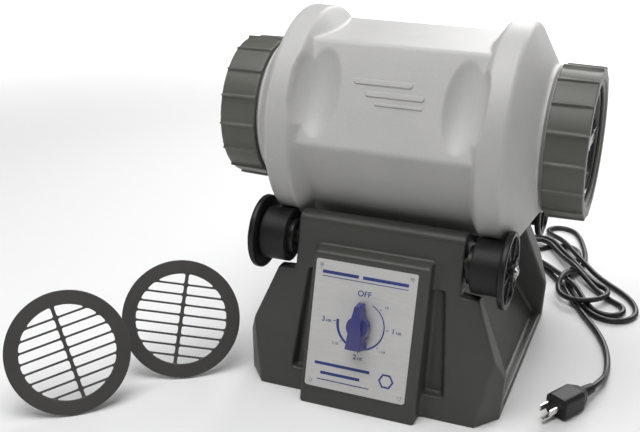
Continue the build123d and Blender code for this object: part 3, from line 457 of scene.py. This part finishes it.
AXIS = 0.270                                            # height of the barrel's axis
APOTHEM, SHOULDER, TREAD_R, NECK_R, MOUTH_R = 0.097, 0.101, 0.1182, 0.070, 0.061
FLAT_END, FLAT_GONE = 0.098, 0.1035                     # the hexagon runs out inside the hoop
HOOP_FOOT, HOOP_RUN = 0.087, 0.011
CONE_START, CONE_END, COLLAR_SEAT_R, SEAT_END = 0.1228, 0.1474, 0.0766, 0.1506
LIP_START, NECK_END = 0.1815, 0.184
SCOOP_X, SCOOP_OUT = 0.074, 0.117                       # centre of a finger scoop's ellipsoid
SCOOP_WIDE, SCOOP_DEEP = 0.067, 0.028                   # its half axes across and into the flat


def soft_max(a, b, k):
    """The larger of two, blended over a difference of k."""
    h = np.clip(0.5 + 0.5 * (a - b) / k, 0, 1)
    return b + (a - b) * h + k * h * (1 - h)


def soft_min(a, b, k):
    return -soft_max(-a, -b, k)


def barrel_radius(x, angle):
    """Radius of the barrel's skin at x and at an angle about its axis, on a grid."""
    flats = [math.radians(30 + 60 * i) for i in range(6)]
    hexagon = np.full_like(x, 1.0)
    for f in flats:
        reach = np.maximum(np.cos(angle - f), 0.2)
        hexagon = soft_min(hexagon, APOTHEM / reach, 0.0036)
    ax = np.abs(x)
    cone_in = TREAD_R - (ax - CONE_START) * (TREAD_R - COLLAR_SEAT_R) / (CONE_END - CONE_START)
    rise = SHOULDER + (ax - HOOP_FOOT) * (TREAD_R - SHOULDER) / HOOP_RUN
    hoop = soft_min(soft_min(rise, np.full_like(ax, TREAD_R), 0.0035), cone_in, 0.004)
    drop = (FLAT_GONE - ax) / 0.003
    hexagon = np.where(ax < FLAT_END, hexagon, hexagon * np.clip(drop, 0, 1) ** 0.5)
    body = soft_max(hexagon, hoop, 0.0018)
    neck = np.where(ax < SEAT_END, COLLAR_SEAT_R, NECK_R)
    body = soft_max(body, neck, 0.0025)
    for side in (-1, 1):
        for f in flats[::2]:
            turn = np.arctan2(np.sin(angle - f), np.cos(angle - f))
            dx = x - side * SCOOP_X
            a = np.sin(turn) ** 2 / SCOOP_WIDE ** 2 + np.cos(turn) ** 2 / SCOOP_DEEP ** 2
            b = -2 * SCOOP_OUT * np.cos(turn) / SCOOP_DEEP ** 2
            c = (SCOOP_OUT ** 2 + dx ** 2) / SCOOP_DEEP ** 2 - 1
            inside = b * b - 4 * a * c
            cut = (-b - np.sqrt(np.maximum(inside, 0))) / (2 * a)
            cut = np.where((inside > 0) & (np.abs(turn) < 0.9) & (cut > 0.05), cut, 0.2)
            body = soft_min(body, cut, 0.0015)
    return body


def barrel_stations():
    """Places along the axis, closer together where the neck turns over."""
    even = list(np.linspace(-0.150, 0.150, 201))
    edge = [0.1504, 0.1510, 0.1525, 0.156, 0.162, 0.170, 0.176, 0.1815, 0.1832, 0.1838, NECK_END]
    return np.array([-e for e in reversed(edge)] + even + edge)


def barrel():
    """The moulded skin and its two open necks, as one mesh of rings."""
    xs = barrel_stations()
    around = 480
    angles = np.linspace(0, 2 * math.pi, around, endpoint=False)
    grid_x, grid_a = np.meshgrid(xs, angles, indexing="ij")
    radius = barrel_radius(grid_x, grid_a)
    end = np.abs(grid_x)
    lip = NECK_R - 0.0008 * ((end - LIP_START) / (NECK_END - LIP_START)) ** 2
    radius = np.where(end > LIP_START, lip, radius)
    rings = [(grid_x[i], radius[i]) for i in range(len(xs))]
    bore = [(0.184, 0.0618), (0.1834, 0.0611), (0.178, MOUTH_R), (0.160, MOUTH_R), (0.138, MOUTH_R)]
    rings += [(np.full(around, x), np.full(around, r)) for x, r in bore]
    rings = [(np.full(around, -x), np.full(around, r)) for x, r in reversed(bore)] + rings
    points = [(x, r * math.cos(a), AXIS + r * math.sin(a)) for row in rings for x, r, a in zip(*row, angles)]
    faces = []
    for i in range(len(rings) - 1):
        for j in range(around):
            k = (j + 1) % around
            faces.append((i * around + j, i * around + k, (i + 1) * around + k, (i + 1) * around + j))
    data = mesh_of("barrel_skin", points, faces)
    return new_piece("barrel_skin", data, "barrel", "barrel", ("barrel_shell",))


def raised_bar(name, plane, centre, length, width, height, mat, body, bevel=0.45):
    """A low pad with rounded ends on a plane given as (origin, x axis, y axis, z axis)."""
    origin, ex, ey, ez = plane
    steps, r = 12, width / 2
    outline = []
    for end, start in ((1, -90), (-1, 90)):
        for i in range(steps + 1):
            t = math.radians(start + 180 * i / steps)
            outline.append((end * (length / 2 - r) + r * math.cos(t), r * math.sin(t)))
    points, faces, rows = [], [], []
    profile = [(0.0, -0.2), (0.0, 0.35), (0.10 * bevel, 0.75), (0.35 * bevel, 0.95), (0.8 * bevel, 1.0)]
    for inset, up in profile:
        row = []
        for u, v in outline:
            lu = math.copysign(max(abs(u) - (length / 2 - r), 0), u)
            scale = 1 - inset * r / max(math.hypot(lu, v), 1e-9)
            cu = u - lu + lu * scale
            cv = v * scale
            row.append(len(points))
            points.append(origin + ex * (centre[0] + cu) + ey * (centre[1] + cv) + ez * (height * up))
        rows.append(row)
    n = len(outline)
    for low, high in zip(rows, rows[1:]):
        for j in range(n):
            faces.append((low[j], low[(j + 1) % n], high[(j + 1) % n], high[j]))
    faces.append(tuple(rows[-1]))
    faces.append(tuple(reversed(rows[0])))
    data = mesh_of(name, points, faces)
    return new_piece(name, data, mat, body)


# Along the barrel, up the flat, length, width
BARREL_BARS = ((-0.010, 0.016, 0.062, 0.006), (0.004, 0.004, 0.062, 0.006), (0.010, -0.006, 0.050, 0.003))
BARREL_BAR_H = 0.0011


def barrel_marks():
    """Three plain raised bars where such a barrel carries its moulded lettering."""
    turn = math.radians(30)
    ez = Vector((0, -math.cos(turn), math.sin(turn)))
    ex = Vector((1, 0, 0))
    ey = ez.cross(ex)
    origin = Vector((0, 0, AXIS)) + ez * APOTHEM
    plane = (origin, ex, ey, ez)
    for i, (u, v, length, width) in enumerate(BARREL_BARS):
        raised_bar(f"barrel_bar_{i + 1}", plane, (u, v), length, width, BARREL_BAR_H, "barrel", "barrel")


# ---------------------------------------------------------------- label and dial print

BOSS_ANGLE = math.atan(0.275)
DIAL_R, DIAL_START, DIAL_SWEEP = 0.0255, 24, 252        # the crescent, in degrees clockwise from the top
LABEL_PROUD = 0.0006                                    # half the label's thickness


# Plain rules where such a label carries its wording: left, right, height up the label, thickness
PRINTED_RULES = ((-0.0475, -0.0075, 0.0560, 0.0034), (-0.0030, 0.0465, 0.0560, 0.0034),
                 (-0.0475, 0.0465, 0.0514, 0.0008), (-0.0465, 0.0150, -0.0425, 0.0032),
                 (-0.0390, 0.0050, -0.0525, 0.0032), (-0.0420, 0.0160, -0.0600, 0.0010))


def label_plane():
    """The panel label's outer face, as a centre and three directions."""
    low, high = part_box("label_plate")
    ez = Vector((0, -math.cos(BOSS_ANGLE), math.sin(BOSS_ANGLE)))
    ex = Vector((1, 0, 0))
    ey = ez.cross(ex)
    return (low + high) / 2 + ez * LABEL_PROUD, ex, ey, ez


def print_patch(name, outline, height=0.00012):
    """A thin closed patch of print on the label, from a flat outline in label coordinates."""
    origin, ex, ey, ez = label_plane()
    n = len(outline)
    points = [origin + ex * u + ey * v + ez * h for h in (-0.00002, height) for u, v in outline]
    faces = [tuple(range(n, 2 * n)), tuple(reversed(range(n)))]
    faces += [(j, (j + 1) % n, n + (j + 1) % n, n + j) for j in range(n)]
    return new_piece(name, mesh_of(name, points, faces, smooth=False), "ink", "base")


def dial_centre():
    origin, ex, ey, ez = label_plane()
    low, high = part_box("timer_shaft")
    middle = (low + high) / 2 - origin
    return middle.dot(ex), middle.dot(ey)


def dial_arc():
    """A crescent that thickens clockwise round the knob."""
    cu, cv = dial_centre()
    outer, inner, steps = [], [], 72
    for i in range(steps + 1):
        share = i / steps
        turn = math.radians(90 - DIAL_START - share * DIAL_SWEEP)
        half = 0.0004 + 0.0011 * share
        outer.append((cu + (DIAL_R + half) * math.cos(turn), cv + (DIAL_R + half) * math.sin(turn)))
        inner.append((cu + (DIAL_R - half) * math.cos(turn), cv + (DIAL_R - half) * math.sin(turn)))
    print_patch("dial_arc", (outer + inner[::-1])[::-1])


def tick(name, turn_deg, r0, r1, width):
    """A radial mark between two radii, clockwise from the top of the dial."""
    cu, cv = dial_centre()
    t = math.radians(90 - turn_deg)
    du, dv = math.cos(t), math.sin(t)
    nu, nv = -dv * width / 2, du * width / 2
    print_patch(name, [(cu + du * r0 - nu, cv + dv * r0 - nv), (cu + du * r1 - nu, cv + dv * r1 - nv),
                       (cu + du * r1 + nu, cv + dv * r1 + nv), (cu + du * r0 + nu, cv + dv * r0 + nv)])


def words(name, text, u, v, size):
    """Dial lettering, turned into a mesh that lies on the label."""
    origin, ex, ey, ez = label_plane()
    curve = bpy.data.curves.new(name, "FONT")
    curve.body = text
    curve.size = size
    curve.align_x, curve.align_y = "CENTER", "CENTER"
    curve.extrude = 0.00006
    curve.offset = size * 0.012
    holder = bpy.data.objects.new(name + "_text", curve)
    bpy.context.scene.collection.objects.link(holder)
    dg = bpy.context.evaluated_depsgraph_get()
    data = bpy.data.meshes.new_from_object(holder.evaluated_get(dg))
    bpy.data.objects.remove(holder)
    turn = Matrix((ex, ey, ez)).transposed().to_4x4()
    data.transform(Matrix.Translation(origin + ex * u + ey * v + ez * 0.00004) @ turn)
    return new_piece(name, data, "ink", "base")


def bar_outline(left, right, v, width):
    return [(left, v - width / 2), (right, v - width / 2), (right, v + width / 2), (left, v + width / 2)]


def hexagon_mark(u, v, radius, width):
    """A plain hexagonal ring, printed as six bars."""
    for i in range(6):
        a, b = math.radians(60 * i), math.radians(60 * i + 60)
        ring = [(radius - width, a), (radius, a), (radius, b), (radius - width, b)]
        print_patch(f"foot_mark_{i + 1}", [(u + r * math.cos(t), v + r * math.sin(t)) for r, t in ring])


def label_print():
    """The dial's marks round the knob, and plain rules and a hexagon elsewhere."""
    cu, cv = dial_centre()
    dial_arc()
    for i in range(6):
        turn = 45 * (i + 1)
        tick(f"dial_tick_{i + 1}", turn, DIAL_R + 0.0022, DIAL_R + (0.0038 if turn % 90 else 0.0046), 0.0008)
    words("dial_off", "OFF", cu + 0.0005, cv + 0.0335, 0.0086)
    for digit, turn in (("1", 90), ("2", 180), ("3", 270)):
        t = math.radians(90 - turn)
        du, dv = 0.0385 * math.cos(t), 0.0345 * math.sin(t)
        words(f"dial_{digit}", digit, cu + du - 0.0030, cv + dv, 0.0076)
        words(f"dial_{digit}_hr", "HR", cu + du + 0.0028, cv + dv - 0.0010, 0.0044)
    for text, turn in (("1/2", 45), ("1 1/2", 135), ("2 1/2", 225)):
        t = math.radians(90 - turn)
        words(f"dial_half_{turn}", text, cu + 0.0365 * math.cos(t), cv + 0.0335 * math.sin(t), 0.0034)
    for i, (left, right, v, width) in enumerate(PRINTED_RULES):
        print_patch(f"label_rule_{i + 1}", bar_outline(left, right, v, width))
    hexagon_mark(0.0335, -0.0480, 0.0085, 0.0021)


# ---------------------------------------------------------------- strainers

DISC_R, DISC_HALF, OPENING_R, RIB_HALF = 0.0655, 0.0020, 0.0503, 0.0020
BAR_FIRST, BAR_PITCH, BAR_HALF, BARS = 0.0380, 0.0113, 0.00115, 8
GRILLE_HALF, STRAINER_LEAN = 0.0013, 30


def circle_line(radius, count=128):
    return [(radius * math.cos(2 * math.pi * i / count), radius * math.sin(2 * math.pi * i / count))
            for i in range(count)]


def bend(a, corner, b):
    """Four points round a corner, from a to b."""
    line = []
    for i in range(4):
        t = i / 3
        line.append(tuple((1 - t) ** 2 * p + 2 * t * (1 - t) * q + t * t * r
                          for p, q, r in zip(a, corner, b)))
    return line


def slot_line(low, high, cut=0.0021):
    """The rounded opening to the right of the rib, between two bars or under the ring."""
    def rim(v):
        return math.sqrt(max(OPENING_R ** 2 - v * v, 0))

    line = bend((RIB_HALF, low + cut), (RIB_HALF, low), (RIB_HALF + cut, low))
    line += bend((rim(low) - cut, low), (rim(low), low), (rim(low + cut), low + cut))
    top = math.sqrt(OPENING_R ** 2 - (RIB_HALF + cut) ** 2)
    end = min(high - cut, top)
    line += [(rim(v), v) for v in np.linspace(low + cut, end, 9)[1:-1]]
    if end < top:
        line += bend((rim(end), end), (rim(high), high), (rim(high) - cut, high))
        line += bend((RIB_HALF + cut, high), (RIB_HALF, high), (RIB_HALF, high - cut))
    else:
        line += bend((RIB_HALF + cut, top), (RIB_HALF, top), (RIB_HALF, top - cut))
    return line


def openings():
    bars = [BAR_FIRST - BAR_PITCH * i for i in range(BARS)]
    right = [slot_line(bars[0] + BAR_HALF, 1)]
    right += [slot_line(low + BAR_HALF, high - BAR_HALF) for high, low in zip(bars, bars[1:])]
    right += [[(u, -v) for u, v in slot_line(-bars[-1] + BAR_HALF, 1, 0.0016)]]
    return right + [[(-u, v) for u, v in line] for line in right]


def flat_plate(name, lines, half, bevel=0.0002):
    """A plate with holes: the first line is its outline and the others are its holes."""
    curve = bpy.data.curves.new(name, "CURVE")
    curve.dimensions, curve.fill_mode = "2D", "BOTH"
    for line in lines:
        spline = curve.splines.new("POLY")
        spline.points.add(len(line) - 1)
        for point, (u, v) in zip(spline.points, line):
            point.co = (u, v, 0, 1)
        spline.use_cyclic_u = True
    curve.extrude, curve.bevel_depth, curve.offset = half - bevel, bevel, -bevel
    holder = bpy.data.objects.new(name, curve)
    bpy.context.scene.collection.objects.link(holder)
    data = bpy.data.meshes.new_from_object(holder.evaluated_get(bpy.context.evaluated_depsgraph_get()))
    bpy.data.objects.remove(holder)
    bm = bmesh.new()
    bm.from_mesh(data)
    bpy.data.meshes.remove(data)
    return bm


def strainer(side, facing, roll):
    """A leaning ring with recessed bars and a rib, in its CAD solid's place."""
    low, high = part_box(f"strainer_{side}")
    turn, lean, spin = math.radians(facing), math.radians(STRAINER_LEAN), math.radians(roll)
    ez = Vector((math.sin(turn) * math.cos(lean), -math.cos(turn) * math.cos(lean), math.sin(lean)))
    flat = Vector((math.cos(turn), math.sin(turn), 0))
    up = ez.cross(flat)
    ex = flat * math.cos(spin) + up * math.sin(spin)
    ey = ez.cross(ex)
    whole = bmesh.new()
    scrap = bpy.data.meshes.new("scrap")
    for name, lines, half in (("ring", [circle_line(DISC_R), circle_line(OPENING_R + 0.0002)], DISC_HALF),
                              ("grille", [circle_line(OPENING_R + 0.003)] + openings(), GRILLE_HALF)):
        part = flat_plate(name, lines, half)
        part.to_mesh(scrap)
        part.free()
        whole.from_mesh(scrap)
    data = bpy.data.meshes.new(f"strainer_{side}_disc")
    whole.to_mesh(data)
    whole.free()
    bpy.data.meshes.remove(scrap)
    turned = Matrix((ex, ey, ez)).transposed().to_4x4()
    data.transform(Matrix.Translation((low + high) / 2) @ turned)
    piece = new_piece(f"strainer_{side}_disc", data, "strainer", f"strainer_{side}",
                      (f"strainer_{side}",))
    data = soften(piece, 0.00055, 2, 80000)
    data.materials.clear()
    data.materials.append(MAT["strainer"])


# ---------------------------------------------------------------- strain relief

BOOT_FLANGE, BOOT_FLANGE_R, BOOT_RINGS, BOOT_PLAIN = 0.10, 0.0098, 6, 0.93
BOOT_START_R, BOOT_TAPER, BOOT_RING_H = 0.0072, 0.0026, 0.0009

def strain_relief():
    """A tapered boot with rings, from the rear wall to the cord."""
    low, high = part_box("strain_relief")
    cx, cz = (low.x + high.x) / 2, (low.z + high.z) / 2
    start, end = low.y, high.y
    around = 40
    rows = []
    n = 56
    for i in range(n + 1):
        s = i / n
        y = start + (end - start) * s
        if s < BOOT_FLANGE:
            r = BOOT_FLANGE_R
        else:
            along = (s - BOOT_FLANGE) / (1 - BOOT_FLANGE)
            wave = 0.5 + 0.5 * math.cos(2 * math.pi * BOOT_RINGS * along)
            r = BOOT_START_R - BOOT_TAPER * along + (BOOT_RING_H * (1 - wave) if s < BOOT_PLAIN else 0)
        rows.append((y, r))
    rows = [(start, 0.004)] + rows + [(end, 0.0037)]
    points = [(cx + r * math.cos(2 * math.pi * j / around), y, cz + r * math.sin(2 * math.pi * j / around))
              for y, r in rows for j in range(around)]
    faces = []
    for i in range(len(rows) - 1):
        for j in range(around):
            k = (j + 1) % around
            faces.append((i * around + j, (i + 1) * around + j, (i + 1) * around + k, i * around + k))
    faces.append(tuple(range(around)))
    last = (len(rows) - 1) * around
    faces.append(tuple(reversed(range(last, last + around))))
    data = mesh_of("strain_relief_boot", points, faces)
    return new_piece("strain_relief_boot", data, "plug", "base", ("strain_relief",))


# ---------------------------------------------------------------- the whole

def main():
    """Builds every visible piece, and gives the CAD's own meshes their materials."""
    MAT.update(make_materials())
    camera()
    studio()
    flex = cord()
    boot = strain_relief()
    barrel()
    barrel_marks()
    dress(("barrel_liner",), "liner")
    dress(("window_gasket_left", "window_gasket_right"), "rubber")
    for side in ("left", "right"):
        moulded(f"screw_collar_{side}", "collar", 0.0009, 4)
        moulded(f"end_window_{side}", "window", 0.0008, 5)
    strainer("left", 38, 13)
    strainer("right", 30, -11)
    for row in ("idler", "drive"):
        dress((f"{row}_shaft", f"{row}_clips"), "steel")
        dress((f"{row}_spacers",), "hub")
        for side in ("left", "right"):
            moulded(f"{row}_hub_{side}", "hub", 0.0009, 3, 60000)
            moulded(f"{row}_tyre_{side}", "rubber", 0.0009, 3, 40000)
    moulded("base_housing", "housing", 0.0016, 6, 99000)
    moulded("bottom_plate", "housing", 0.0014, 3, 60000)
    moulded("timer_knob", "knob", 0.00045, 3, 60000)
    plug = moulded("plug_body", "plug", 0.0005, 4, 60000)
    dress(("plug_blades", "plug_ground_pin"), "nickel")
    dress(("label_plate",), "label")
    dress(("label_rivets", "bottom_screws", "motor_screws", "timer_nut", "timer_shaft"), "steel")
    dress(("motor_brackets", "motor_rotor"), "zinc")
    dress(("motor_stack",), "laminations")
    dress(("motor_coil",), "copper")
    dress(("cooling_fan",), "fan")
    dress(("motor_pulley", "drive_pulley", "timer_body"), "hub")
    dress(("drive_belt",), "belt")
    dress(("rubber_feet",), "rubber")
    dress(("shaft_bushings",), "brass")
    label_print()


main()
